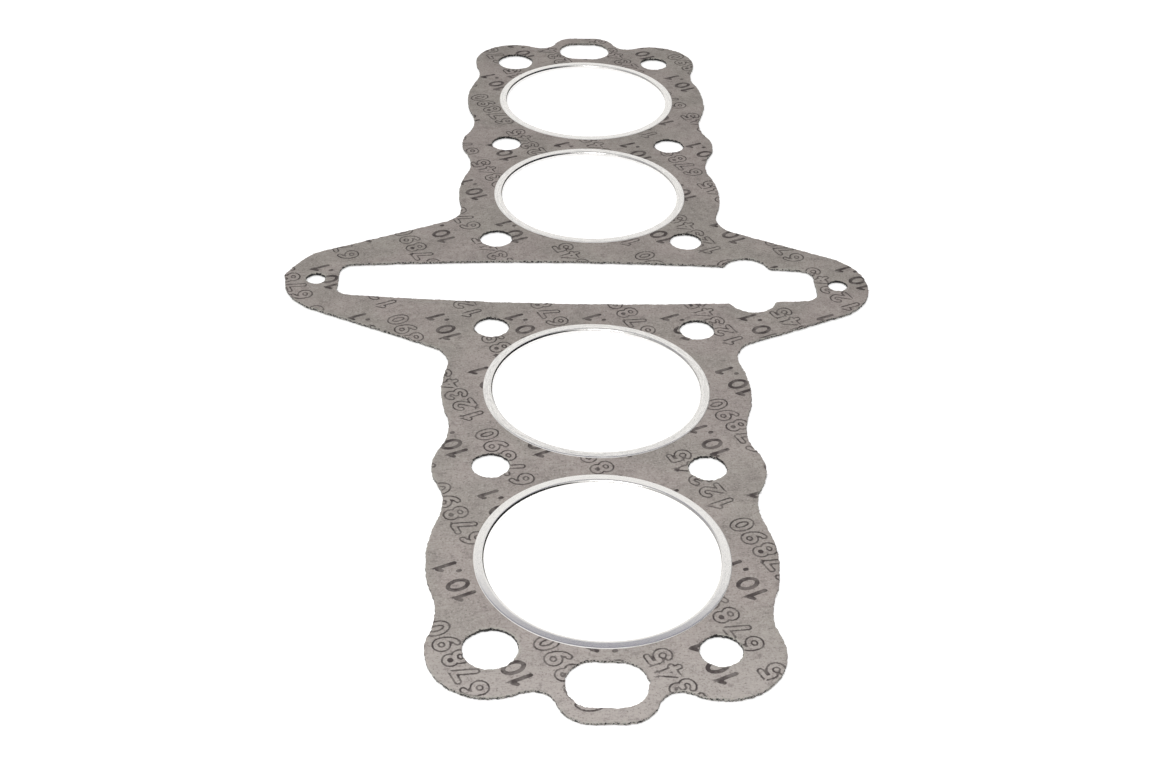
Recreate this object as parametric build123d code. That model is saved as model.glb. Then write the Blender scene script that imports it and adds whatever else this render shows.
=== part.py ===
from build123d import *
import os
from math import atan2, cos, degrees, radians, sin, sqrt

# Cylinder head gasket of an air-cooled four-cylinder motorcycle engine, in millimetres.
#
# One punched fibre sheet carries four fire rings, each folded from thin sheet metal into a U
# that grips the sheet's edge round one bore. The sheet is also open at the twelve stud holes,
# the two end windows, the long chain tunnel across its middle and a small hole in each arm.
#
# X runs across the engine, Y along the row of bores and Z up. The origin is the middle of the
# stud pattern, at half the gasket's thickness. The four quarters of the outline are alike,
# apart from the left arm, which is the longer one.

# Bores and fire rings
BORE_PITCH = 77.6             # from an outer bore to its inner neighbour
TUNNEL_BORE_PITCH = 121.4     # between the two inner bores, across the chain tunnel
RING_BORE_R = 32.0            # inside of a fire ring
RING_FLANGE_WIDTH = 3.0       # from the inside of the ring to the edge of its flange
RING_METAL = 0.25             # thickness of the ring's sheet metal
RING_BORE_GAP = 0.2           # between the ring's wall and the sheet's cut edge

# Fibre sheet
SHEET_THICKNESS = 1.1
BORE_LAND = 12.8              # sheet between a fire ring and the outline
MIDDLE_STUD_LAND = 11.4       # sheet between a middle stud hole and the outline
CORNER_STUD_LAND = 11.1       # sheet between a corner stud hole and the outline
CORNER_WAIST_R = 21.7         # hollow between a corner lobe and the outer bore's lobe
STUD_WAIST_R = 22.2           # hollows on both sides of a middle stud's lobe

# Stud holes
STUD_HOLE_R = 5.6
DOWEL_HOLE_R = 7.2            # the two left corner holes, which also take a dowel
CORNER_STUD_X = 29.3
CORNER_STUD_OFFSET = 35.1     # beyond the outer bore's centre
MIDDLE_STUD_X = 31.5          # midway between an outer and an inner bore
TUNNEL_STUD_X = 33.4
TUNNEL_STUD_OFFSET = 32.8     # inward from the inner bore's centre

# End windows and the tabs round them
WINDOW_WIDTH = 20.8
WINDOW_HEIGHT = 16.0
WINDOW_END_FLAT = 1.2         # straight stretch between the two corners at a window's end
WINDOW_BRIDGE = 3.9           # sheet between a fire ring and the window
TAB_END_LAND = 4.75           # sheet beyond the window
TAB_SIDE_LAND = 2.55          # sheet beside the window
TAB_CORNER_R = 8.75
TAB_NOTCH_R = 6.2             # hollow between the tab and a corner lobe

# Arms beside the chain tunnel
ARM_HOLE_R = 3.3
RIGHT_ARM_HOLE_X = 83.3
LEFT_ARM_HOLE_X = 93.4
ARM_END_LAND = 6.9            # sheet between the arm's hole and its end
ARM_TIP_R = 20.2
ARM_TAPER = 27.2              # degrees between an arm's edge and X
ARM_ROOT_R = 10.8             # hollow between an arm and the inner bore's lobe

# Chain tunnel
TUNNEL_END_LAND = 4.3         # sheet between the tunnel and an arm's hole
TUNNEL_END_HEIGHT = 18.6
TUNNEL_MIDDLE_HEIGHT = 27.0   # its long sides are bowed
TUNNEL_CORNER_R = 4.5
NOTCH_X = 53.1                # the round notches face each other near the right end
NOTCH_R = 8.0
NOTCH_DEPTH = 17.1            # from the tunnel's centre line to the bottom of a notch
NOTCH_EDGE_R = 1.5            # rounding where a notch meets the tunnel's side

inner_bore_y = TUNNEL_BORE_PITCH / 2
outer_bore_y = inner_bore_y + BORE_PITCH
bore_centres_y = [-outer_bore_y, -inner_bore_y, inner_bore_y, outer_bore_y]

ring_outer_r = RING_BORE_R + RING_FLANGE_WIDTH
ring_height = SHEET_THICKNESS + 2 * RING_METAL
sheet_bore_r = RING_BORE_R + RING_METAL + RING_BORE_GAP

corner_stud_y = outer_bore_y + CORNER_STUD_OFFSET
middle_stud_y = (inner_bore_y + outer_bore_y) / 2
tunnel_stud_y = inner_bore_y - TUNNEL_STUD_OFFSET

bore_lobe_r = ring_outer_r + BORE_LAND
middle_lobe_r = STUD_HOLE_R + MIDDLE_STUD_LAND
corner_lobe_r = STUD_HOLE_R + CORNER_STUD_LAND

window_corner_r = (WINDOW_HEIGHT - WINDOW_END_FLAT) / 2
window_y = outer_bore_y + ring_outer_r + WINDOW_BRIDGE + WINDOW_HEIGHT / 2
tab_end_y = window_y + WINDOW_HEIGHT / 2 + TAB_END_LAND
tab_corner_x = WINDOW_WIDTH / 2 + TAB_SIDE_LAND - TAB_CORNER_R
tab_corner_y = tab_end_y - TAB_CORNER_R


def angle_of(way):
    """Direction of a vector in the XY plane, in degrees."""
    return degrees(atan2(way.Y, way.X))


def lobe_arc(centre, start, end):
    """Counter-clockwise arc round a centre: an edge that bulges outwards."""
    start_angle = angle_of(start - centre)
    turn = (angle_of(end - centre) - start_angle) % 360
    return CenterArc(centre, (start - centre).length, start_angle, turn)


def hollow_arc(centre, start, end):
    """Clockwise arc round a centre: an edge that bulges inwards."""
    start_angle = angle_of(start - centre)
    turn = (start_angle - angle_of(end - centre)) % 360
    return CenterArc(centre, (start - centre).length, start_angle, -turn)


def hollow_between(start, start_r, end, end_r, hollow_r):
    """Centre of the hollow that touches two lobes, on the right of the way between them."""
    way = end - start
    to_start = start_r + hollow_r
    to_end = end_r + hollow_r
    along = (to_start**2 - to_end**2 + way.length**2) / (2 * way.length)
    aside = sqrt(to_start**2 - along**2)
    ahead = way.normalized()
    return start + ahead * along + Vector(ahead.Y, -ahead.X) * aside


def lobes_and_hollows(point, lobes, hollow_radii):
    """Edges from a point on the first lobe, round each lobe but the last, to the last lobe.

    A lobe is a centre and a radius. The point where the last lobe is reached comes back too.
    """
    edges = []
    for (centre, lobe_r), (next_centre, next_r), hollow_r in zip(lobes, lobes[1:], hollow_radii):
        hollow = hollow_between(centre, lobe_r, next_centre, next_r, hollow_r)
        leave = centre + (hollow - centre).normalized() * lobe_r
        reach = next_centre + (hollow - next_centre).normalized() * next_r
        edges.append(lobe_arc(centre, point, leave))
        edges.append(hollow_arc(hollow, leave, reach))
        point = reach
    return edges, point


def arm_edges(point, bore, arm_end_x):
    """Edges from a point on the inner bore's lobe, along the arm, to the middle of its end."""
    tip = Vector(arm_end_x - ARM_TIP_R, 0)
    along = Vector(cos(radians(ARM_TAPER)), sin(radians(ARM_TAPER)))
    outward = Vector(along.Y, -along.X)
    root_line = tip + outward * (ARM_TIP_R + ARM_ROOT_R)
    from_bore = root_line - bore
    ahead = from_bore.dot(along)
    reach = bore_lobe_r + ARM_ROOT_R
    root = root_line + along * (sqrt(ahead**2 - from_bore.dot(from_bore) + reach**2) - ahead)
    leave = bore + (root - bore).normalized() * bore_lobe_r
    straight_start = root - outward * ARM_ROOT_R
    straight_end = tip + outward * ARM_TIP_R
    return [
        lobe_arc(bore, point, leave),
        hollow_arc(root, leave, straight_start),
        Line(straight_start, straight_end),
        lobe_arc(tip, straight_end, Vector(arm_end_x, 0)),
    ]


def outline_quarter(arm_hole_x):
    """Outline from the middle of the tab at the -Y end to the middle of the arm at +X."""
    tab_middle = Vector(0, -tab_end_y)
    tab_corner = Vector(tab_corner_x, -tab_corner_y)
    tab_edge_end = Vector(tab_corner_x, -tab_end_y)
    inner_bore = Vector(0, -inner_bore_y)
    lobes = [
        (tab_corner, TAB_CORNER_R),
        (Vector(CORNER_STUD_X, -corner_stud_y), corner_lobe_r),
        (Vector(0, -outer_bore_y), bore_lobe_r),
        (Vector(MIDDLE_STUD_X, -middle_stud_y), middle_lobe_r),
        (inner_bore, bore_lobe_r),
    ]
    hollow_radii = [TAB_NOTCH_R, CORNER_WAIST_R, STUD_WAIST_R, STUD_WAIST_R]
    edges, point = lobes_and_hollows(tab_edge_end, lobes, hollow_radii)
    arm_end_x = arm_hole_x + ARM_HOLE_R + ARM_END_LAND
    return [Line(tab_middle, tab_edge_end)] + edges + arm_edges(point, inner_bore, arm_end_x)


def outline():
    """The sheet's outer shape: two unlike quarters, each mirrored to the other end."""
    right = outline_quarter(RIGHT_ARM_HOLE_X)
    left = [mirror(edge, Plane.YZ) for edge in outline_quarter(LEFT_ARM_HOLE_X)]
    front = right + left
    back = [mirror(edge, Plane.XZ) for edge in front]
    return make_face(front + back)


def tunnel():
    """Chain tunnel: bowed long sides, rounded corners and two round notches."""
    left_x = -(LEFT_ARM_HOLE_X - ARM_HOLE_R - TUNNEL_END_LAND)
    right_x = RIGHT_ARM_HOLE_X - ARM_HOLE_R - TUNNEL_END_LAND
    end_y = TUNNEL_END_HEIGHT / 2
    middle = ((left_x + right_x) / 2, TUNNEL_MIDDLE_HEIGHT / 2)
    side = ThreePointArc((left_x, end_y), middle, (right_x, end_y))
    right_end = Line((right_x, end_y), (right_x, -end_y))
    left_end = Line((left_x, -end_y), (left_x, end_y))
    opening = make_face([side, right_end, mirror(side, Plane.XZ), left_end])
    opening = fillet(opening.vertices(), TUNNEL_CORNER_R)
    for notch in notch_centres():
        opening += Pos(notch) * Circle(NOTCH_R)
    return fillet(opening.vertices().filter_by(on_notch_rim), NOTCH_EDGE_R)


def notch_centres():
    """Centres of the two round notches, one in each long side of the tunnel."""
    notch_y = NOTCH_DEPTH - NOTCH_R
    return [Vector(NOTCH_X, notch_y), Vector(NOTCH_X, -notch_y)]


def on_notch_rim(vertex):
    """True for a corner where a notch cuts the tunnel's side."""
    distances = [(vertex.center() - notch).length for notch in notch_centres()]
    return any(abs(distance - NOTCH_R) < 0.01 for distance in distances)


def four_corners(x, y):
    """The four places (x, y), (-x, y), (x, -y) and (-x, -y)."""
    return [(side * x, end * y) for side in (1, -1) for end in (1, -1)]


def round_holes():
    """Centre and radius of every round hole that has no fire ring."""
    holes = [(place, STUD_HOLE_R) for place in four_corners(MIDDLE_STUD_X, middle_stud_y)]
    holes += [(place, STUD_HOLE_R) for place in four_corners(TUNNEL_STUD_X, tunnel_stud_y)]
    for x, y in four_corners(CORNER_STUD_X, corner_stud_y):
        holes.append(((x, y), STUD_HOLE_R if x > 0 else DOWEL_HOLE_R))
    holes.append(((RIGHT_ARM_HOLE_X, 0), ARM_HOLE_R))
    holes.append(((-LEFT_ARM_HOLE_X, 0), ARM_HOLE_R))
    return holes


def gasket_sheet():
    """The punched fibre sheet, centred on the XY plane."""
    face = outline() - tunnel()
    for bore_y in bore_centres_y:
        face -= Pos(0, bore_y) * Circle(sheet_bore_r)
    for place, radius in round_holes():
        face -= Pos(*place) * Circle(radius)
    for end_y in (window_y, -window_y):
        face -= Pos(0, end_y) * RectangleRounded(WINDOW_WIDTH, WINDOW_HEIGHT, window_corner_r)
    return extrude(Pos(0, 0, -SHEET_THICKNESS / 2) * face, SHEET_THICKNESS)


def fire_ring():
    """One fire ring round the Z axis: a wall in the bore, folded to a flange on each face."""
    middle = Pos(RING_BORE_R + RING_FLANGE_WIDTH / 2, 0)
    outside = middle * Rectangle(RING_FLANGE_WIDTH, ring_height)
    grip = middle * Pos(RING_METAL, 0) * Rectangle(RING_FLANGE_WIDTH, SHEET_THICKNESS)
    return revolve(Plane.XZ * (outside - grip), Axis.Z)


def main():
    """Write one STEP file for each piece."""
    os.makedirs("parts", exist_ok=True)
    export_step(gasket_sheet(), "parts/gasket_sheet.step")
    ring = fire_ring()
    for number, bore_y in enumerate(bore_centres_y, start=1):
        export_step(Pos(0, bore_y) * ring, f"parts/fire_ring_{number}.step")


main()
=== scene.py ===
import math
import random
from collections import namedtuple

import bpy
import numpy as np
from mathutils import Matrix, Vector, noise
from mathutils.geometry import delaunay_2d_cdt
from mathutils.kdtree import KDTree


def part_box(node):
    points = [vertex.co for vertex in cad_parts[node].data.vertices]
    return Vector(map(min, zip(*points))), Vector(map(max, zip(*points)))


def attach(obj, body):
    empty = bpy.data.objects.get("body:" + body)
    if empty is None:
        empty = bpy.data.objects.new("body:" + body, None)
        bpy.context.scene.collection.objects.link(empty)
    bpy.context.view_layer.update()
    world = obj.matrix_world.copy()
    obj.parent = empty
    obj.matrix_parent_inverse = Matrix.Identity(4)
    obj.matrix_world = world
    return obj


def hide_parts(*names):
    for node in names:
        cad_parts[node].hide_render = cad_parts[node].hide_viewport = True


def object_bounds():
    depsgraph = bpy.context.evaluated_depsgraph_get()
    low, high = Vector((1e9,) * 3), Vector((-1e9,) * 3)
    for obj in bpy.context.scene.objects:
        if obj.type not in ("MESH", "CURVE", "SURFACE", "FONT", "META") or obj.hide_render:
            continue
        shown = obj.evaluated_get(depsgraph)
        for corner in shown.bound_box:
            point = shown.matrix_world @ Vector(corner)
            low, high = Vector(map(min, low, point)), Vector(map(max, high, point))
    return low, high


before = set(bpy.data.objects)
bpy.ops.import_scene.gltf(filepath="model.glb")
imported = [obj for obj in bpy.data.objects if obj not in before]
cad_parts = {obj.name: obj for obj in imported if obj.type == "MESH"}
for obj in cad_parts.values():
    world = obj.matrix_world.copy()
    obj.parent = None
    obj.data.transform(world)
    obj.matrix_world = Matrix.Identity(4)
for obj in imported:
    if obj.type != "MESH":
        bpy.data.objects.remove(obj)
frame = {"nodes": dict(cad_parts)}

# Looks of the cylinder head gasket, in metres, in the frame of the solids. Sizes and places of
# the sheet and the rings come from the frame. Sizes of small detail are in millimetres, times MM.
MM = 0.001

# Reading the frame's flat outline
FLAT_ENOUGH = 0.01 * MM       # a face whose corners are this near the top belongs to it
STRAIGHT_EDGE = 6.0 * MM      # a longer edge of the frame's outline is a straight one
OUTLINE_STEP = 0.42 * MM      # between two points of the outline
BORE_STEP = 1.5 * MM          # the same where a fire ring hides the edge
BORE_LENGTH = 150.0 * MM      # a round opening longer than this is a bore
BORE_OPEN = 100.0 * MM        # and its width is under this
ROUND_ENOUGH = 1.0 * MM       # most that its width and its height may differ by
HOLE_LENGTH = 50.0 * MM       # a loop shorter than this is a small hole

# Cut edge of the sheet
CUT_DEPTH = 1.10              # in millimetres, from the top face to the bottom one
CUT_LAYERS = (                # millimetres in from the edge, and down
    (0.12, 0.0),
    (0.02, 0.07),
    (0.0, 0.3),
    (0.0, 0.7),
    (0.08, 1.0),
    (0.22, CUT_DEPTH),
)
TORN = 0.24 * MM              # how far the torn edge strays
TORN_SCALE = 1.3 * MM         # length of its steps
TORN_FINE = 0.7               # share of its finer steps, a third as long
TORN_LAYER = 0.6              # share that each layer has for itself, with steps half as long
WAVER = 0.22 * MM             # how far it wanders over a longer way
WAVER_SCALE = 5.0 * MM
CRUMBLE = 0.8 * MM            # width of the crumbling strip along the edge of a face
EDGE_WEAR_AND_SHADE = 0.15              # wear at the top edge of a cut; down the wall it grows to 1 at the bottom, painted shade that darkens the wall downwards
HOLE_WEAR_AND_SHADE = 0.21              # the same round a small hole, with more painted shade, so that its wall is darker
NICKS = (                     # x, y, depth and width in millimetres; a depth below 0 stands out
    (14.2, -191.5, 0.7, 0.9),
    (12.3, -189.4, 0.5, 0.6),
    (10.8, -184.4, 0.7, 0.7),
    (-23.6, -179.5, 0.6, 0.7),
    (-103.4, 2.2, -0.7, 1.8),
    (-100.2, 10.5, 0.6, 5.0),
)

# Loose fibre ends round the edges
WHISKERS = 110
WHISKER_SEED = 5
WHISKER_LAYERS = (1, 2, 3)    # layers of the cut that they stand out of
WHISKER_LENGTH = (0.4, 1.8)   # in millimetres, shortest and longest
WHISKER_LEAN = (-150, -30)    # in degrees from the way along the edge
WHISKER_CURL = (-25, 25)      # in degrees from one step to the next
WHISKER_SINK = (-0.2, 0.1)    # rise in a length of 1
WHISKER_R = 0.07 * MM
WHISKER_TAPER = 0.7           # share of the radius that is gone at the tip
WHISKER_CORNERS = (90, 210, 330)
WHISKER_STEPS = 4
WHISKER_WEAR = 0.6

# Faces of the sheet
FACE_GRID = 1.8 * MM
GRID_SEED = 11
GRID_STRAY = 0.25             # how far a point of the grid is out of line, in steps
FACE_DENT = 0.035 * MM        # depth of the soft dents
FACE_DENT_SCALE = 5.0 * MM
CLEAR = 0.3 * MM              # nearest that a point of the face comes to the cut edge
ONLY_INSIDE = 1               # the kind of triangulation that leaves out what lies outside
SAME_POINT = 1e-5             # in millimetres

# Seeds of the noise that moves the sheet's points
TORN_SEED = 1.0
TORN_FINE_SEED = 2.0
DENT_SEED = 3.0
WAVER_SEED = 5.0
LAYER_SEED = 10.0             # for the first layer, and 1 more for each after it

# Print: rows of plain numbers across the top face, one row solid and the next one outlined
READ_ANGLE = 117.0            # degrees from X to the reading direction
ROW_PITCH = 23.1 * MM         # between two rows of a kind
SOLID_ROW = -102.5 * MM       # one solid row, measured across the reading direction
HOLLOW_ROW = -91.0 * MM       # one outlined row
SOLID_TEXT = "10.1"
SOLID_REPEAT = 33.5 * MM
SOLID_START = 13.3 * MM
SOLID_SHIFT = -11.15 * MM     # from one row to the next
SOLID_HEIGHT = 5.6 * MM
SOLID_WIDTH = 3.5 * MM
SOLID_ADVANCE = {"1": 4.4 * MM, "0": 5.0 * MM, ".": 3.2 * MM}
SOLID_INK = 0.46 * MM         # half the width of a stroke
HOLLOW_TEXT = "1234567890"
HOLLOW_GROUP = 5              # digits, then a gap
HOLLOW_ADVANCE = 5.9 * MM
HOLLOW_GAP = 4.5 * MM
HOLLOW_START = -169.3 * MM    # first digit of a group in one row
HOLLOW_SHIFT = -17.0 * MM     # from one row to the next
HOLLOW_HEIGHT = 5.5 * MM
HOLLOW_WIDTH = 3.4 * MM
HOLLOW_REACH = 0.78 * MM      # from the middle of a stroke to its outline
HOLLOW_INK = 0.19 * MM        # half the width of the outline
INK_FADE = 0.26 * MM
INK_MARGIN = 1.5 * MM         # no ink lies farther than this from a digit's guide points
PRINT_STEP = 0.4 * MM
PRINT_MARGIN = 5.0 * MM       # a digit whose middle is this far outside the sheet is left out
STROKE_SLACK = 0.04 * MM      # a guide point this much too near another stroke is left out
ARC_STEP = 20                 # in degrees

# Fire rings
RING_TURNS = 288
RING_METAL = 0.25 * MM
RING_FOLD_R = 0.7 * MM
RING_FOLD_STEP = 15           # in degrees
RING_RIM_R = 0.18 * MM
RING_RIM_ANGLES = (0, 30, 60, 90)
RING_FLANGE_SHARES = (0.2, 0.4, 0.6, 0.8, 1.0)   # places between the rim and the fold
RING_SLOPE = 0.06 * MM        # how much lower the flange is at its rim
RING_SLOPE_POWER = 1.2
RING_WAVE = 0.008 * MM
RING_WAVE_COUNT = 6           # waves in a ring's radius
RING_OWN_WAVES = 50           # places each ring in its own part of the noise
STREAK_SQUEEZE = 7.0          # streaks are this much longer round the ring than across it
RING_WEAR = {"fire_ring_1": 0.3, "fire_ring_2": 1.0, "fire_ring_3": 1.0, "fire_ring_4": 0.7}

# Look of the sheet. A noise is its stretch, its turn in degrees, the number of clouds in a
# millimetre, its detail and its roughness.
EVEN = (1.0, 1.0, 1.0)
FIBRE_NOISE = {
    "hues": (EVEN, 0.0, 0.035, 2.0, 0.55),
    "clouds": (EVEN, 0.0, 0.07, 3.0, 0.55),
    "mottle": (EVEN, 0.0, 0.45, 6.0, 0.72),
    "grain": (EVEN, 0.0, 1.6, 4.0, 0.75),
    "along": ((2.6, 0.5, 1.0), 8.0, 1.0, 3.0, 0.6),
    "across": ((2.2, 0.35, 1.0), -52.0, 1.0, 2.0, 0.55),
    "thin ink": (EVEN, 0.0, 0.35, 3.0, 0.55),
    "stretches": (EVEN, 0.0, 0.05, 2.0, 0.55),
    "frays": (EVEN, 0.0, 1.2, 3.0, 0.7),
    "ends": (EVEN, 0.0, 1.9, 3.0, 0.7),
}
HUES = (0.40, 0.60)           # where one hue has given way to the other
DULL_FIBRE = ((0.297, 0.271, 0.247), (0.306, 0.267, 0.251))
BRIGHT_FIBRE = ((0.357, 0.330, 0.298), (0.369, 0.325, 0.304))
CLOUDS = (0.35, 0.65)         # where dull fibre has given way to bright
PAINTED_NEAR_LIGHT = (                 # painted light that makes the sheet paler towards its near end: from y, to y in millimetres, share there, colour
    (-25.0, -75.0, 0.15, (0.44, 0.40, 0.38)),
    (-155.0, -192.0, 0.80, (0.45, 0.41, 0.388)),
)
FLECKS = (                    # noise, where a fleck begins, where it is full, share there, colour
    ("mottle", 0.48, 0.70, 0.60, (0.42, 0.385, 0.36)),
    ("mottle", 0.48, 0.30, 0.65, (0.18, 0.155, 0.148)),
    ("along", 0.50, 0.74, 0.45, (0.20, 0.172, 0.165)),
    ("across", 0.58, 0.74, 0.25, (0.42, 0.39, 0.365)),
    ("grain", 0.54, 0.66, 0.72, (0.14, 0.12, 0.115)),
    ("grain", 0.45, 0.34, 0.56, (0.52, 0.49, 0.46)),
)
INK_COLOUR = (0.060, 0.048, 0.047)
INK_SOAK = 0.9                # how much the grain breaks up the ink
INK_EDGE = (0.62, 1.15)       # where soaked ink begins, and where it is full
INK_THIN = (0.38, 0.62, 0.68, 1.0)    # from, to, and the ink's strength at both
STRIP = (0.02, 0.22, 0.0, 0.55)       # wear from, wear to, and the strip's strength at both
STRIP_STRETCHES = (0.42, 0.58)
STRIP_COLOUR = (0.44, 0.43, 0.385)
FRAYS = 0.8                   # how much the frays add to the wear
FRAYED = (0.62, 0.74)         # where the torn colour begins, and where it is full
GLINT_MORE = 0.09              # how many more painted glints a cut that is not a small hole has
GLINTED = (0.55, 0.63)     # where painted glints have taken over from dark, shaded ends
# Dark fibre ends with painted shade on them, and light fibre ends painted as glints
DARK_SHADED_END = (0.010, 0.009, 0.009)
GLINT_END = (0.46, 0.44, 0.41)
FIBRE_ROUGHNESS = 0.85
FIBRE_RELIEF = (0.10 * MM, 0.9)       # height, strength
GRAIN_RELIEF = 0.5            # share of the grain in it

# Look of the rings. A noise is its number of clouds in a millimetre, detail and roughness.
STAINS = (0.30, 4.0, 0.65)
STAINED = (0.62, 0.40, 0.0, 0.9)      # from, to, and the stains' strength at both
SCUFFS = (1.1, 4.0, 0.7)
SCUFFED = (0.56, 0.70, 0.0, 0.8)
CLEAN_METAL = (0.91, 0.90, 0.885)
STAINED_METAL = (0.78, 0.77, 0.76)
SCUFFED_METAL = (0.42, 0.41, 0.40)
METAL_ROUGHNESS = (0.35, 0.7, 0.10, 0.24)   # scuffs from, scuffs to, and the roughness at both
RIM_ROUGHNESS = 0.55
RIM_METALLIC = 0.35           # the sheared rim is dull and white
METAL_RELIEF = (0.005 * MM, 0.5)      # height, strength

# Camera
CAMERA_PLACE = (-0.01805, -0.47147, 0.29911)
CAMERA_TURN = (2.19729, 0.00099, 0.03248)   # world to camera, as a rotation vector, y down
CAMERA_SENSOR = 36.0          # in millimetres, as the lens
CAMERA_LENS = 51.44
CAMERA_CLIP = (0.01, 50.0)

# Floor and light
WHITE = (1.0, 1.0, 1.0)
FLOOR_REACH = 6.0
FLOOR_COLOUR = (0.85, 0.85, 0.85)
FLOOR_ROUGHNESS = 0.9
FLOOR_GLOW = 0.45             # what camera and metal see on top of the floor's own light
WALL_LIGHT = (0.95, 0.94, 0.92)       # the studio's pale walls
CEILING_LIGHT = (0.34, 0.34, 0.385)   # its ceiling ahead, from 45 degrees up
CEILING_UP = (0.68, 0.74)
CEILING_AHEAD = (-0.1, 0.3)
SIDES = (                     # axis, where the light changes, where it has, share of the walls' light
    ("Y", -0.86, -0.94, 0.30),        # behind the camera
    ("X", -0.42, -0.64, 0.45),        # on the left
    ("X", 0.26, 0.42, 0.02),          # on the right, the studio's open side
    ("Z", 0.91, 0.95, 0.72),          # straight above
)
OVERHEAD_LAMP = {"place": (0.0, 0.0, 1.3), "target": (0.0, 0.0, 0.0), "size": 0.8, "power": 5.15}
KEY_LAMP = {"place": (-0.06, -0.36, 0.30), "target": (0.0, -0.18, 0.0), "size": 0.2, "power": 0.54}

# A printed digit on the sheet: its strokes, how far from them its ink lies, half the width of
# that line of ink, and the points of the face that it needs.
Digit = namedtuple("Digit", "strokes reach half_width guides")


def frame_loops(node):
    """Edges of the top face of a flat solid: closed lists of points, the sheet on their left."""
    mesh = node.data
    top = max(vertex.co.z for vertex in mesh.vertices)
    half_edges = set()
    for face in mesh.polygons:
        corners = list(face.vertices)
        if min(mesh.vertices[corner].co.z for corner in corners) > top - FLAT_ENOUGH:
            half_edges.update(zip(corners, corners[1:] + corners[:1]))
    follow = {start: end for start, end in half_edges if (end, start) not in half_edges}
    loops = []
    while follow:
        start, corner = follow.popitem()
        loop = [start]
        while corner != start:
            loop.append(corner)
            corner = follow.pop(corner)
        loops.append(np.array([mesh.vertices[corner].co.xy for corner in loop]))
    return loops


def smooth_loop(points, step):
    """The same loop with its arcs made round again, and a point about every step."""
    after = np.roll(points, -1, axis=0) - points
    before = np.roll(after, 1, axis=0)
    after_length = np.linalg.norm(after, axis=1)[:, None]
    before_length = np.roll(after_length, 1, axis=0)
    along = after / after_length**2 + before / before_length**2
    along = np.where((after_length > STRAIGHT_EDGE) & (before_length < STRAIGHT_EDGE), after, along)
    along = np.where((before_length > STRAIGHT_EDGE) & (after_length < STRAIGHT_EDGE), before, along)
    along /= np.linalg.norm(along, axis=1)[:, None]
    result = []
    for index, start in enumerate(points):
        length = after_length[index, 0]
        end = start + after[index]
        leave = along[index] * length
        reach = along[(index + 1) % len(points)] * length
        count = max(1, round(length / step))
        for share in np.arange(count)[:, None] / count:
            bend = share**2 * (3 - 2 * share)
            pull = share * (1 - share)**2 * leave - share**2 * (1 - share) * reach
            result.append(start * (1 - bend) + end * bend + pull)
    return np.array(result)


def loop_length(loop):
    """Way round a closed loop."""
    return np.linalg.norm(np.roll(loop, -1, axis=0) - loop, axis=1).sum()


def loops_box(loops):
    """Lowest and highest corner of all the loops."""
    everything = np.vstack(loops)
    return everything.min(axis=0), everything.max(axis=0)


def is_bore(loop):
    """True for the round openings that the fire rings line."""
    width = np.ptp(loop[:, 0])
    out_of_round = abs(width - np.ptp(loop[:, 1]))
    return loop_length(loop) > BORE_LENGTH and width < BORE_OPEN and out_of_round < ROUND_ENOUGH


def outward(loop):
    """Unit vectors from the sheet into the open, one for each point of a loop."""
    way = np.roll(loop, -1, axis=0) - np.roll(loop, 1, axis=0)
    way /= np.linalg.norm(way, axis=1)[:, None]
    return np.column_stack((way[:, 1], -way[:, 0]))


def strays(points, scale, seed):
    """Smooth noise from about -1 to 1, one value for each point."""
    return np.array([noise.noise(Vector((point[0] / scale, point[1] / scale, seed))) for point in points])


def nick_depth(loop):
    """How far the nicks cut into each point of the edge."""
    depth = np.zeros(len(loop))
    for x, y, deep, wide in NICKS:
        gap = np.linalg.norm(loop - np.array((x, y)) * MM, axis=1) / (wide * MM)
        depth += deep * MM * np.exp(-gap**2)
    return depth


def cut_layers(loop, top):
    """Layers of the torn cut under one loop, from the top edge to the bottom one, as 3-D points."""
    way = outward(loop)
    torn = strays(loop, TORN_SCALE, TORN_SEED) + TORN_FINE * strays(loop, TORN_SCALE / 3, TORN_FINE_SEED)
    waver = WAVER * strays(loop, WAVER_SCALE, WAVER_SEED)
    nicked = nick_depth(loop)
    layers = []
    for number, (inset, depth) in enumerate(CUT_LAYERS):
        own = TORN_LAYER * strays(loop, TORN_SCALE / 2, LAYER_SEED + number)
        out = waver + TORN * (torn + own) - inset * MM - nicked
        flat = loop + way * out[:, None]
        layers.append(np.column_stack((flat, np.full(len(flat), top - depth * MM))))
    return layers


def whiskers(cuts):
    """Loose fibre ends that stand out of the cut, as closed tapering tubes: points and faces."""
    draw = random.Random(WHISKER_SEED)
    points = []
    faces = []
    lengths = [len(layers[0]) for layers in cuts]
    sides = len(WHISKER_CORNERS)
    for _ in range(WHISKERS):
        layers = draw.choices(cuts, lengths)[0]
        layer = layers[draw.choice(WHISKER_LAYERS)]
        index = draw.randrange(len(layer))
        middle = Vector(layer[index])
        way = Vector(layer[index] - layer[index - 1]).normalized()
        way.rotate(Matrix.Rotation(math.radians(draw.uniform(*WHISKER_LEAN)), 3, "Z"))
        curl = math.radians(draw.uniform(*WHISKER_CURL))
        length = draw.uniform(*WHISKER_LENGTH) * MM
        sink = Vector((0, 0, draw.uniform(*WHISKER_SINK)))
        first = len(points)
        for step in range(WHISKER_STEPS):
            radius = WHISKER_R * (1 - WHISKER_TAPER * step / (WHISKER_STEPS - 1))
            points += whisker_ring(middle, way, radius)
            middle = middle + (way + sink) * length / WHISKER_STEPS
            way.rotate(Matrix.Rotation(curl, 3, "Z"))
        last = first + sides * (WHISKER_STEPS - 1)
        for here in range(first, last, sides):
            faces += band(list(range(here, here + sides)), list(range(here + sides, here + 2 * sides)), True)
        faces.append([first, first + 2, first + 1])
        faces.append([last, last + 1, last + 2])
    return points, faces


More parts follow.
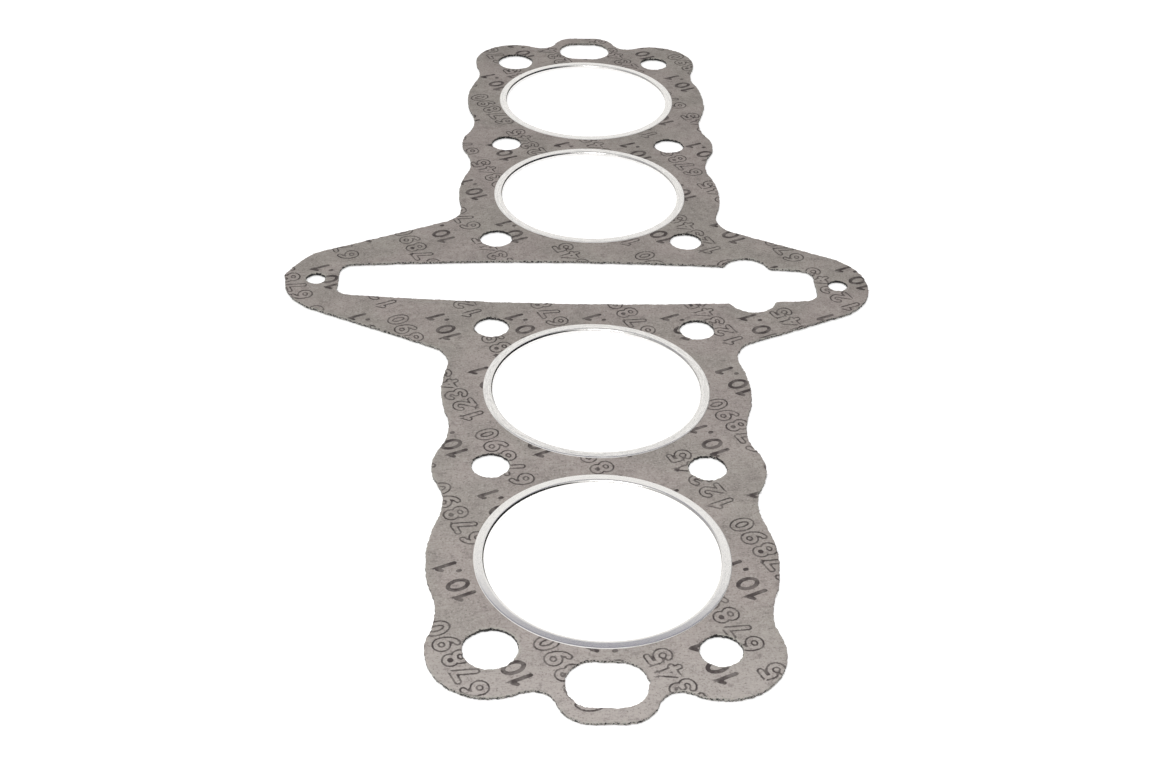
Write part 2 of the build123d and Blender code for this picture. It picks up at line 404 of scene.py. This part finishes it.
def whisker_ring(middle, way, radius):
    """The corners of a fibre's section."""
    side = Vector((-way.y, way.x, 0))
    corners = []
    for angle in WHISKER_CORNERS:
        turn = math.radians(angle)
        corners.append(middle + side * radius * math.cos(turn) + Vector((0, 0, radius * math.sin(turn))))
    return corners


def band(above, below, turned=False):
    """Faces between two closed rings of vertices, from the first ring's side or turned over."""
    next_above = above[1:] + above[:1]
    next_below = below[1:] + below[:1]
    if turned:
        return [list(corners) for corners in zip(above, next_above, next_below, below)]
    return [list(corners) for corners in zip(above, below, next_below, next_above)]


def inside(points, loops):
    """Which of the points lie on the sheet: an odd number of edges lies to their right."""
    odd = np.zeros(len(points), bool)
    for loop in loops:
        for start, end in zip(loop, np.roll(loop, -1, axis=0)):
            crosses = (points[:, 1] < start[1]) != (points[:, 1] < end[1])
            if crosses.any():
                share = (points[crosses, 1] - start[1]) / (end[1] - start[1])
                odd[crosses] ^= points[crosses, 0] < start[0] + share * (end[0] - start[0])
    return odd


def thin_out(points, keep_off, distance):
    """The points that are at least a distance from all of another set."""
    tree = KDTree(len(keep_off))
    for index, point in enumerate(keep_off):
        tree.insert((point[0], point[1], 0.0), index)
    tree.balance()
    return [point for point in points if tree.find((point[0], point[1], 0.0))[2] > distance]


def face_grid(loops, step):
    """Points spread over the sheet, a little out of line."""
    draw = random.Random(GRID_SEED)
    low, high = loops_box(loops)
    points = []
    for y in np.arange(low[1], high[1], step):
        for x in np.arange(low[0], high[0], step):
            stray_x = draw.uniform(-GRID_STRAY, GRID_STRAY) * step
            stray_y = draw.uniform(-GRID_STRAY, GRID_STRAY) * step
            points.append((x + stray_x, y + stray_y))
    points = np.array(points)
    return points[inside(points, loops)]


def arc(middle, radii, start, end):
    """Part of an ellipse as a list of points, from one angle to another, in degrees."""
    count = max(4, round(abs(end - start) / ARC_STEP))
    angles = np.radians(np.linspace(start, end, count + 1))
    return [(middle[0] + radii[0] * math.cos(a), middle[1] + radii[1] * math.sin(a)) for a in angles]


def digit_strokes(digit):
    """Strokes of a plain digit, 1 high and up to 1 wide, round the origin."""
    return {
        "0": [arc((0, 0), (0.5, 0.5), 0, 360)],
        "1": [[(-0.35, 0.28), (0.05, 0.5), (0.05, -0.5)]],
        "2": [arc((0, 0.22), (0.46, 0.28), 165, -35) + [(-0.48, -0.5), (0.5, -0.5)]],
        "3": [arc((0, 0.25), (0.42, 0.25), 150, -90), arc((0, -0.25), (0.48, 0.25), 90, -150)],
        "4": [[(0.2, -0.5), (0.2, 0.5), (-0.5, -0.18), (0.5, -0.18)]],
        "5": [[(0.42, 0.5), (-0.36, 0.5), (-0.4, 0.08)] + arc((0, -0.19), (0.48, 0.31), 130, -150)],
        "6": [arc((0, -0.22), (0.47, 0.28), 0, 360), arc((0.4, -0.22), (0.87, 0.72), 180, 95)],
        "7": [[(-0.48, 0.5), (0.48, 0.5), (-0.12, -0.5)]],
        "8": [arc((0, 0.26), (0.4, 0.24), 0, 360), arc((0, -0.24), (0.48, 0.26), 0, 360)],
        "9": [arc((0, 0.22), (0.47, 0.28), 0, 360), arc((-0.4, 0.22), (0.87, 0.72), 0, -85)],
        ".": [[(0.0, -0.5), (0.0, -0.42)]],
    }[digit]


def read_way():
    """Unit vectors of the print: along a row, and upwards from it."""
    angle = math.radians(READ_ANGLE)
    along = np.array((math.cos(angle), math.sin(angle)))
    return along, np.array((-along[1], along[0]))


def placed_strokes(digit, place, width, height):
    """A digit's strokes on the sheet, as arrays of points."""
    along, up = read_way()
    strokes = []
    for stroke in digit_strokes(digit):
        strokes.append(np.array([place + along * x * width + up * y * height for x, y in stroke]))
    return strokes


def row_places(first_row, reach):
    """Number and place of each row within a reach of the origin."""
    first = math.ceil((-reach - first_row) / ROW_PITCH)
    last = math.floor((reach - first_row) / ROW_PITCH)
    return [(number, first_row + number * ROW_PITCH) for number in range(first, last + 1)]


def solid_digits(reach):
    """Strokes of every solid digit: the same number, again and again."""
    along, up = read_way()
    digits = []
    for number, across in row_places(SOLID_ROW, reach):
        start = SOLID_START + number * SOLID_SHIFT
        start -= math.floor((start + reach) / SOLID_REPEAT) * SOLID_REPEAT
        for repeat in range(math.ceil(2 * reach / SOLID_REPEAT)):
            place = start + repeat * SOLID_REPEAT
            for digit in SOLID_TEXT:
                middle = along * place - up * across
                digits.append(placed_strokes(digit, middle, SOLID_WIDTH, SOLID_HEIGHT))
                place += SOLID_ADVANCE[digit]
    return digits


def hollow_digits(reach):
    """Strokes of every outlined digit, in groups."""
    along, up = read_way()
    repeat = HOLLOW_ADVANCE * HOLLOW_GROUP + HOLLOW_GAP
    digits = []
    for number, across in row_places(HOLLOW_ROW, reach):
        start = HOLLOW_START + number * HOLLOW_SHIFT
        start -= math.floor((start + reach) / repeat) * repeat
        for group in range(math.ceil(2 * reach / repeat)):
            for step in range(HOLLOW_GROUP):
                digit = HOLLOW_TEXT[(group * HOLLOW_GROUP + step) % len(HOLLOW_TEXT)]
                middle = along * (start + group * repeat + step * HOLLOW_ADVANCE) - up * across
                digits.append(placed_strokes(digit, middle, HOLLOW_WIDTH, HOLLOW_HEIGHT))
    return digits


def stroke_distance(points, strokes):
    """Distance from each point to the nearest stroke of one digit."""
    nearest = np.full(len(points), np.inf)
    for stroke in strokes:
        for start, end in zip(stroke, stroke[1:]):
            way = end - start
            share = np.clip(((points - start) @ way) / (way @ way), 0.0, 1.0)
            gap = np.linalg.norm(points - start - share[:, None] * way, axis=1)
            nearest = np.minimum(nearest, gap)
    return nearest


def guide_points(strokes, offsets):
    """Points along a digit's strokes and round their ends, at each of some distances from them."""
    points = []
    distances = []
    for stroke in strokes:
        for start, end in zip(stroke, stroke[1:]):
            way = end - start
            length = np.linalg.norm(way)
            side = np.array((way[1], -way[0])) / length
            for share in np.arange(0.0, 1.0, PRINT_STEP / max(length, PRINT_STEP)):
                for offset in offsets:
                    for hand in (side, -side):
                        points.append(start + way * share + hand * offset)
                        distances.append(offset)
        for tip, inner in ((stroke[0], stroke[1]), (stroke[-1], stroke[-2])):
            way = (tip - inner) / np.linalg.norm(tip - inner)
            side = np.array((way[1], -way[0]))
            for offset in offsets:
                count = max(2, round(math.pi * offset / PRINT_STEP))
                for angle in np.linspace(0.0, math.pi, count + 1):
                    points.append(tip + side * offset * math.cos(angle) + way * offset * math.sin(angle))
                    distances.append(offset)
    points = np.array(points)
    on_outline = stroke_distance(points, strokes) > np.array(distances) - STROKE_SLACK
    return points[on_outline]


def printed(loops):
    """Every digit that touches the sheet."""
    low, high = loops_box(loops)
    reach = float(np.linalg.norm(high))
    solid_offsets = (0.5 * SOLID_INK, SOLID_INK, SOLID_INK + INK_FADE)
    hollow_offsets = tuple(HOLLOW_REACH + side * (HOLLOW_INK + INK_FADE) for side in (-1, 0, 1))
    kinds = (
        (solid_digits(reach), 0.0, SOLID_INK, solid_offsets),
        (hollow_digits(reach), HOLLOW_REACH, HOLLOW_INK, hollow_offsets),
    )
    found = []
    for digits, ink_reach, half_width, offsets in kinds:
        for strokes in digits:
            middle = np.vstack(strokes).mean(axis=0)
            if (middle < low - PRINT_MARGIN).any() or (middle > high + PRINT_MARGIN).any():
                continue
            guides = guide_points(strokes, offsets)
            guides = guides[inside(guides, loops)]
            if len(guides):
                found.append(Digit(strokes, ink_reach, half_width, guides))
    return found


def ink_of(points, digits):
    """Ink on each point of the top face, from 0 to 1."""
    ink = np.zeros(len(points))
    for digit in digits:
        low = digit.guides.min(axis=0) - INK_MARGIN
        high = digit.guides.max(axis=0) + INK_MARGIN
        near = ((points > low) & (points < high)).all(axis=1)
        off = np.abs(stroke_distance(points[near], digit.strokes) - digit.reach)
        own_ink = np.clip((digit.half_width + INK_FADE - off) / INK_FADE, 0.0, 1.0)
        ink[near] = np.maximum(ink[near], own_ink)
    return ink


def fill_face(borders, points):
    """Triangles between closed borders and over loose points. Returns points, faces and border numbers."""
    flat = []
    edges = []
    numbers = []
    for border in borders:
        first = len(flat)
        count = len(border)
        flat += [(point[0] / MM, point[1] / MM) for point in border]
        edges += [(first + index, first + (index + 1) % count) for index in range(count)]
        numbers.append(range(first, first + count))
    flat += [(point[0] / MM, point[1] / MM) for point in points]
    vectors = [Vector(point) for point in flat]
    found = delaunay_2d_cdt(vectors, edges, [], ONLY_INSIDE, SAME_POINT)
    corners = np.array([(corner.x * MM, corner.y * MM) for corner in found[0]])
    triangles = found[2]
    sources = found[3]
    middles = corners[np.array(triangles)].mean(axis=1)
    kept = inside(middles, [border[:, :2] for border in borders])
    place = {}
    for index, origins in enumerate(sources):
        for origin in origins:
            place[origin] = index
    rings = [[place[number] for number in border] for border in numbers]
    return corners, [triangle for triangle, keep in zip(triangles, kept) if keep], rings


class Shell:
    """The sheet's mesh as it grows, with the wear and painted shade of each of its vertices, and how much
    painted light its cut wall has.
    """

    def __init__(self):
        self.vertices = []
        self.faces = []
        self.wear_and_shade = []
        self.painted_lit = []

    def add(self, points, faces, wear_and_shade=0.0, painted_lit=0.0):
        """Adds points and the faces between them. Returns the number of the first point."""
        first = len(self.vertices)
        self.vertices += [tuple(point) for point in points]
        self.faces += [[first + corner for corner in face] for face in faces]
        self.wear_and_shade += [wear_and_shade] * len(points)
        self.painted_lit += [painted_lit] * len(points)
        return first

    def mark(self, corners, wear_and_shade, painted_lit):
        """Changes the wear and painted shade, and the painted light, of some vertices."""
        for corner in corners:
            self.wear_and_shade[corner] = wear_and_shade
            self.painted_lit[corner] = painted_lit


def add_face(shell, borders, loose, height, up):
    """One softly dented face of the sheet. Returns its flat points, and the vertices of each border."""
    flat, triangles, rings = fill_face(borders, loose)
    side = 1 if up else -1
    dents = side * FACE_DENT * (strays(flat, FACE_DENT_SCALE, DENT_SEED) - 1.0) / 2
    if not up:
        triangles = [triangle[::-1] for triangle in triangles]
    first = shell.add(np.column_stack((flat, height + dents)), triangles)
    return flat, [[first + corner for corner in ring] for ring in rings]


def add_wall(shell, above, bottom, loop, layers):
    """The cut wall under one loop, between its vertices on the top face and on the bottom one. Painted shade
    darkens the wall towards its bottom, and more so round a small hole; the other walls get more painted
    glints.
    """
    small = loop_length(loop) < HOLE_LENGTH
    # painted shade: a small hole's wall is darker, the other walls have more painted glints
    edge = HOLE_WEAR_AND_SHADE if small else EDGE_WEAR_AND_SHADE
    painted_lit = 0.0 if small else 1.0
    shell.mark(above, edge, painted_lit)
    shell.mark(bottom, 1.0, painted_lit)
    top = layers[0][0][2]
    for layer in layers[1:-1]:
        # painted shade: darker towards the bottom of the cut
        wear_and_shade = edge + (1 - edge) * (top - layer[0][2]) / (CUT_DEPTH * MM)
        first = shell.add(layer, [], wear_and_shade, painted_lit)
        below = list(range(first, first + len(layer)))
        shell.faces += band(above, below)
        above = below
    shell.faces += band(above, bottom)


def build_sheet(node):
    """The punched sheet: torn cut edges, softly dented faces and the print's ink on top."""
    low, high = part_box(node.name)
    coarse = frame_loops(node)
    loops = [smooth_loop(loop, BORE_STEP if is_bore(loop) else OUTLINE_STEP) for loop in coarse]
    cuts = [cut_layers(loop, high.z) for loop in loops]
    edge_points = np.vstack([layers[0][:, :2] for layers in cuts])
    digits = printed(coarse)
    strips = [layers[0][:, :2] - outward(loop) * CRUMBLE for loop, layers in zip(loops, cuts)]
    guides = thin_out(np.vstack(strips + [digit.guides for digit in digits]), edge_points, CLEAR)
    grid = thin_out(face_grid(coarse, FACE_GRID), np.vstack([edge_points, guides]), 2 * CLEAR)
    wide_grid = thin_out(face_grid(coarse, 2 * FACE_GRID), edge_points, 2 * CLEAR)
    shell = Shell()
    flat, tops = add_face(shell, [layers[0] for layers in cuts], guides + grid, high.z, True)
    bottoms = add_face(shell, [layers[-1] for layers in cuts], wide_grid, low.z, False)[1]
    for above, bottom, loop, layers in zip(tops, bottoms, loops, cuts):
        add_wall(shell, above, bottom, loop, layers)
    open_cuts = [layers for loop, layers in zip(loops, cuts) if not is_bore(loop)]
    shell.add(*whiskers(open_cuts), WHISKER_WEAR)
    mesh = bpy.data.meshes.new(node.name + "_looks")
    mesh.from_pydata(shell.vertices, [], shell.faces)
    keep_values(mesh, "ink", ink_of(flat, digits))
    keep_values(mesh, "wear_and_shade", shell.wear_and_shade)
    keep_values(mesh, "painted_lit", shell.painted_lit)
    smooth(mesh)
    return mesh


def keep_values(mesh, name, values):
    """Keeps a number on each vertex for the material. The vertices after the last value get 0."""
    numbers = np.zeros(len(mesh.vertices), np.float32)
    numbers[:len(values)] = values
    mesh.attributes.new(name, "FLOAT", "POINT").data.foreach_set("value", numbers)


def smooth(mesh):
    """Smooth shading on every face."""
    mesh.polygons.foreach_set("use_smooth", [True] * len(mesh.polygons))


def ring_inner_r(name, middle):
    """Inside radius of a ring's solid."""
    corners = bpy.data.objects[name].data.vertices
    return min((corner.co - middle).xy.length for corner in corners)


def ring_profile(inner_r, outer_r, half_height):
    """Section of a fire ring as (radius, height) points, closed, going round the outside first."""
    fold = RING_FOLD_R
    rim = RING_RIM_R
    upper = [(outer_r, half_height - RING_METAL)]
    for angle in RING_RIM_ANGLES:
        turn = math.radians(angle)
        x = outer_r - rim + rim * math.cos(turn)
        upper.append((x, half_height - RING_SLOPE - rim + rim * math.sin(turn)))
    for share in RING_FLANGE_SHARES:
        x = (outer_r - rim) * (1 - share) + (inner_r + fold) * share
        upper.append((x, half_height - RING_SLOPE * (1 - share) ** RING_SLOPE_POWER))
    for angle in range(RING_FOLD_STEP, 91, RING_FOLD_STEP):
        turn = math.radians(angle)
        upper.append((inner_r + fold - fold * math.sin(turn), half_height - fold + fold * math.cos(turn)))
    lower = [(x, -z) for x, z in reversed(upper)]
    grip_r = inner_r + RING_METAL
    grip_z = half_height - RING_METAL
    inside_corners = [(grip_r, -grip_z), (grip_r, grip_z)]
    return upper + lower + inside_corners


def build_ring(name):
    """One fire ring, revolved finely, with a little waviness in its flanges."""
    low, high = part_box(name)
    middle = (low + high) / 2
    outer_r = (high.x - low.x) / 2
    inner_r = ring_inner_r(name, middle)
    profile = ring_profile(inner_r, outer_r, (high.z - low.z) / 2)
    vertices = []
    streaks = []
    rims = []
    faces = []
    count = len(profile)
    for turn in range(RING_TURNS):
        angle = 2 * math.pi * turn / RING_TURNS
        way = Vector((math.cos(angle), math.sin(angle), 0))
        spot = Vector((way.x * RING_WAVE_COUNT, way.y * RING_WAVE_COUNT, middle.y * RING_OWN_WAVES))
        wave = noise.noise(spot)
        for radius, height in profile:
            share = max(0.0, radius - inner_r - RING_FOLD_R) / (outer_r - inner_r)
            place = middle + way * (radius - RING_WAVE * share * abs(wave))
            place.z += height - math.copysign(RING_WAVE * share * (0.5 + 0.5 * wave), height)
            vertices.append(place)
            streaks += [way.x * outer_r, way.y * outer_r, middle.y + STREAK_SQUEEZE * (radius - height)]
            rims.append(1.0 if radius > outer_r - RING_RIM_R else 0.0)
        here = range(turn * count, (turn + 1) * count)
        there = range((turn + 1) % RING_TURNS * count, (turn + 1) % RING_TURNS * count + count)
        faces += band(list(here), list(there), True)
    mesh = bpy.data.meshes.new(name + "_looks")
    mesh.from_pydata(vertices, [], faces)
    mesh.attributes.new("streak", "FLOAT_VECTOR", "POINT").data.foreach_set("vector", streaks)
    keep_values(mesh, "rim", rims)
    keep_values(mesh, "wear_and_shade", [RING_WEAR[name]] * len(vertices))
    smooth(mesh)
    return mesh


def add_piece(name, mesh, material):
    """Puts a mesh in the scene in place of a solid."""
    mesh.materials.append(material)
    piece = bpy.data.objects.new(name + "_looks", mesh)
    bpy.context.scene.collection.objects.link(piece)
    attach(piece, "root")
    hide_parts(name)


class Nodes:
    """A short way to write the nodes of a material or of the world."""

    def __init__(self, owner, shader="Principled BSDF"):
        owner.use_nodes = True
        self.owner = owner
        self.tree = owner.node_tree
        self.shader = self.tree.nodes[shader]

    def link(self, value, socket):
        """Joins an output to a socket, or sets the socket to a number or a colour."""
        if isinstance(value, bpy.types.NodeSocket):
            self.tree.links.new(value, socket)
        elif isinstance(value, tuple):
            socket.default_value = (*value, 1.0)
        else:
            socket.default_value = value

    def set(self, name, value):
        """Gives one of the shader's inputs a value."""
        self.link(value, self.shader.inputs[name])

    def place_in_mm(self, stretch=EVEN, turn=0.0):
        """The point on the object in millimetres, turned about Z and stretched."""
        coordinates = self.tree.nodes.new("ShaderNodeTexCoord")
        return self.in_mm(coordinates.outputs["Object"], stretch, turn)

    def streak_in_mm(self):
        """The ring mesh's own coordinates, long round the ring and short across it."""
        kept = self.tree.nodes.new("ShaderNodeAttribute")
        kept.attribute_name = "streak"
        return self.in_mm(kept.outputs["Vector"], EVEN, 0.0)

    def in_mm(self, vector, stretch, turn):
        """A vector in metres as one in millimetres, turned about Z and stretched."""
        mapping = self.tree.nodes.new("ShaderNodeMapping")
        mapping.vector_type = "TEXTURE"
        mapping.inputs["Rotation"].default_value = (0.0, 0.0, math.radians(turn))
        mapping.inputs["Scale"].default_value = [MM * share for share in stretch]
        self.tree.links.new(vector, mapping.inputs["Vector"])
        return mapping.outputs["Vector"]

    def split(self, vector):
        """X, Y and Z of a vector, by name."""
        node = self.tree.nodes.new("ShaderNodeSeparateXYZ")
        self.tree.links.new(vector, node.inputs["Vector"])
        return node.outputs

    def noise(self, vector, scale, detail, roughness):
        """Cloudy noise. The scale is the number of clouds in a millimetre."""
        node = self.tree.nodes.new("ShaderNodeTexNoise")
        node.inputs["Scale"].default_value = scale
        node.inputs["Detail"].default_value = detail
        node.inputs["Roughness"].default_value = roughness
        self.tree.links.new(vector, node.inputs["Vector"])
        return node.outputs["Fac"]

    def band(self, value, low, high, to_low=0.0, to_high=1.0):
        """Maps low..high softly to another range, and keeps it in there."""
        node = self.tree.nodes.new("ShaderNodeMapRange")
        node.interpolation_type = "SMOOTHSTEP"
        self.link(value, node.inputs["Value"])
        node.inputs["From Min"].default_value = low
        node.inputs["From Max"].default_value = high
        node.inputs["To Min"].default_value = to_low
        node.inputs["To Max"].default_value = to_high
        return node.outputs["Result"]

    def math(self, kind, *values):
        """One sum."""
        node = self.tree.nodes.new("ShaderNodeMath")
        node.operation = kind
        for value, socket in zip(values, node.inputs):
            self.link(value, socket)
        return node.outputs[0]

    def mix(self, share, first, second):
        """A colour between two."""
        node = self.tree.nodes.new("ShaderNodeMix")
        node.data_type = "RGBA"
        self.link(share, node.inputs["Factor"])
        self.link(first, node.inputs["A"])
        self.link(second, node.inputs["B"])
        return node.outputs["Result"]

    def attribute(self, name):
        """A number kept on the mesh."""
        node = self.tree.nodes.new("ShaderNodeAttribute")
        node.attribute_name = name
        return node.outputs["Fac"]

    def rays(self, *kinds):
        """1 for a ray of one of the kinds, else 0."""
        outputs = self.tree.nodes.new("ShaderNodeLightPath").outputs
        seen = outputs[kinds[0]]
        for kind in kinds[1:]:
            seen = self.math("MAXIMUM", seen, outputs[kind])
        return seen

    def bump(self, height, distance, strength):
        """Small relief, its height 1 being the distance."""
        node = self.tree.nodes.new("ShaderNodeBump")
        node.inputs["Strength"].default_value = strength
        node.inputs["Distance"].default_value = distance
        self.tree.links.new(height, node.inputs["Height"])
        self.set("Normal", node.outputs["Normal"])


def felt_colour(nodes, noises):
    """Colour of the bare felt: dull and bright clouds in two hues, painted light that makes it paler towards
    its near end, and flecks.
    """
    hue = nodes.band(noises["hues"], *HUES)
    dull = nodes.mix(hue, *DULL_FIBRE)
    bright = nodes.mix(hue, *BRIGHT_FIBRE)
    colour = nodes.mix(nodes.band(noises["clouds"], *CLOUDS), dull, bright)
    y = nodes.split(nodes.place_in_mm())["Y"]
    # painted light: the felt made paler towards the near end of the sheet
    for start, end, share, painted_lit in PAINTED_NEAR_LIGHT:
        colour = nodes.mix(nodes.band(y, start, end, 0.0, share), colour, painted_lit)
    for kind, start, full, share, fleck in FLECKS:
        colour = nodes.mix(nodes.band(noises[kind], start, full, 0.0, share), colour, fleck)
    return colour


def with_ink(nodes, noises, colour):
    """A colour with the print's ink on it, soaked into the grain and thin in places."""
    soaked = nodes.math("MULTIPLY_ADD", noises["grain"], INK_SOAK, nodes.attribute("ink"))
    thin = nodes.band(noises["thin ink"], *INK_THIN)
    ink = nodes.math("MULTIPLY", nodes.band(soaked, *INK_EDGE), thin)
    return nodes.mix(ink, colour, INK_COLOUR)


def with_shaded_torn_edge(nodes, noises, colour):
    """A colour with a paler strip along the edges, and in the cut dark fibre ends darkened by painted shade
    and light ends that are painted glints.
    """
    wear_and_shade = nodes.attribute("wear_and_shade")
    stretches = nodes.band(noises["stretches"], *STRIP_STRETCHES)
    strip = nodes.math("MULTIPLY", nodes.band(wear_and_shade, *STRIP), stretches)
    colour = nodes.mix(strip, colour, STRIP_COLOUR)
    # painted glints: light ends, more of them on walls that are not round small holes
    light = nodes.math("MULTIPLY_ADD", nodes.attribute("painted_lit"), GLINT_MORE, noises["ends"])
    # dark ends darkened by painted shade, and light ends that are painted glints
    torn = nodes.mix(nodes.band(light, *GLINTED), DARK_SHADED_END, GLINT_END)
    # wear and painted shade together: the cut turns fully to its dark, shaded colour towards the bottom
    frayed = nodes.math("MULTIPLY_ADD", noises["frays"], FRAYS, wear_and_shade)
    return nodes.mix(nodes.band(frayed, *FRAYED), colour, torn)


def fibre_material():
    """Pressed fibre sheet: felted face with its ink and painted light towards its near end, and a cut wall
    made dark with painted shade, with pale fibre ends as painted glints.
    """
    nodes = Nodes(bpy.data.materials.new("fibre_sheet"))
    noises = {}
    for name, (stretch, turn, *kind) in FIBRE_NOISE.items():
        noises[name] = nodes.noise(nodes.place_in_mm(stretch, turn), *kind)
    colour = felt_colour(nodes, noises)
    colour = with_ink(nodes, noises, colour)
    colour = with_shaded_torn_edge(nodes, noises, colour)
    nodes.set("Base Color", colour)
    nodes.set("Roughness", FIBRE_ROUGHNESS)
    relief = nodes.math("ADD", noises["mottle"], nodes.math("MULTIPLY", noises["grain"], GRAIN_RELIEF))
    nodes.bump(relief, *FIBRE_RELIEF)
    return nodes.owner


def ring_material():
    """Bright sheet metal with scuffs and stains that run round the ring, and a dull rim."""
    nodes = Nodes(bpy.data.materials.new("ring_metal"))
    round_it = nodes.streak_in_mm()
    stains = nodes.noise(round_it, *STAINS)
    scuffs = nodes.noise(round_it, *SCUFFS)
    wear_and_shade = nodes.attribute("wear_and_shade")
    stained = nodes.math("MULTIPLY", nodes.band(stains, *STAINED), wear_and_shade)
    colour = nodes.mix(stained, CLEAN_METAL, STAINED_METAL)
    scuffed = nodes.math("MULTIPLY", nodes.band(scuffs, *SCUFFED), wear_and_shade)
    colour = nodes.mix(scuffed, colour, SCUFFED_METAL)
    nodes.set("Base Color", colour)
    rim = nodes.attribute("rim")
    nodes.set("Metallic", nodes.band(rim, 0.0, 1.0, 1.0, RIM_METALLIC))
    rough_rim = nodes.math("MULTIPLY", rim, RIM_ROUGHNESS)
    nodes.set("Roughness", nodes.math("MAXIMUM", nodes.band(scuffs, *METAL_ROUGHNESS), rough_rim))
    nodes.bump(scuffs, *METAL_RELIEF)
    return nodes.owner


def floor_material():
    """Plain white floor, which camera and metal see a little brighter than it is lit."""
    nodes = Nodes(bpy.data.materials.new("floor"))
    nodes.set("Base Color", FLOOR_COLOUR)
    nodes.set("Roughness", FLOOR_ROUGHNESS)
    nodes.set("Emission Color", WHITE)
    seen = nodes.rays("Is Camera Ray", "Is Glossy Ray", "Is Transmission Ray")
    nodes.set("Emission Strength", nodes.math("MULTIPLY", seen, FLOOR_GLOW))
    return nodes.owner


def add_floor(height):
    """A plain pale floor under the gasket."""
    mesh = bpy.data.meshes.new("floor")
    signs = ((-1, -1), (1, -1), (1, 1), (-1, 1))
    mesh.from_pydata([(x * FLOOR_REACH, y * FLOOR_REACH, height) for x, y in signs], [], [(0, 1, 2, 3)])
    mesh.materials.append(floor_material())
    floor = bpy.data.objects.new("floor", mesh)
    bpy.context.scene.collection.objects.link(floor)


def world_light():
    """Pale studio walls, a dimmer ceiling ahead, and sides that each have a share of the walls' light.

    The camera itself sees plain white beyond the floor.
    """
    world = bpy.data.worlds.new("studio")
    bpy.context.scene.world = world
    nodes = Nodes(world, "Background")
    coordinates = nodes.tree.nodes.new("ShaderNodeTexCoord")
    way = nodes.split(coordinates.outputs["Generated"])
    up = nodes.band(way["Z"], *CEILING_UP)
    ahead = nodes.band(way["Y"], *CEILING_AHEAD)
    light = nodes.mix(nodes.math("MULTIPLY", up, ahead), WALL_LIGHT, CEILING_LIGHT)
    for axis, start, full, share in SIDES:
        side_light = tuple(share * part for part in WALL_LIGHT)
        light = nodes.mix(nodes.band(way[axis], start, full), light, side_light)
    nodes.set("Color", nodes.mix(nodes.rays("Is Camera Ray"), light, WHITE))


def soft_lamp(name, place, target, size, power):
    """A square area lamp that faces a point."""
    data = bpy.data.lights.new(name, "AREA")
    data.shape = "SQUARE"
    data.size = size
    data.energy = power
    lamp = bpy.data.objects.new(name, data)
    bpy.context.scene.collection.objects.link(lamp)
    lamp.location = place
    way = Vector(target) - Vector(place)
    lamp.rotation_euler = way.to_track_quat("-Z", "Y").to_euler()
    return lamp


def add_lamps():
    """A wide lamp above, which the metal doesn't mirror, and a small one at the near end."""
    overhead = soft_lamp("overhead", **OVERHEAD_LAMP)
    overhead.visible_glossy = False
    soft_lamp("key", **KEY_LAMP)


def add_camera():
    """The photograph's camera."""
    data = bpy.data.cameras.new("camera")
    data.sensor_width = CAMERA_SENSOR
    data.lens = CAMERA_LENS
    data.clip_start, data.clip_end = CAMERA_CLIP
    camera = bpy.data.objects.new("camera", data)
    bpy.context.scene.collection.objects.link(camera)
    turn = Vector(CAMERA_TURN)
    to_camera = Matrix.Rotation(turn.length, 3, turn.normalized())
    flip = Matrix(((1, 0, 0), (0, -1, 0), (0, 0, -1)))
    pose = (to_camera.transposed() @ flip).to_4x4()
    pose.translation = Vector(CAMERA_PLACE)
    camera.matrix_world = pose
    bpy.context.scene.camera = camera


def main():
    """Dresses the solids and lights them, with the floor at the bottom of the solids as they were before
    dressing.
    """
    cad_box = [list(corner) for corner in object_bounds()]
    bpy.context.scene.view_settings.view_transform = "Standard"
    nodes = frame["nodes"]
    add_piece("gasket_sheet", build_sheet(nodes["gasket_sheet"]), fibre_material())
    metal = ring_material()
    for name in sorted(nodes):
        if name.startswith("fire_ring"):
            add_piece(name, build_ring(name), metal)
    add_floor(cad_box[0][2])
    world_light()
    add_lamps()
    add_camera()


main()
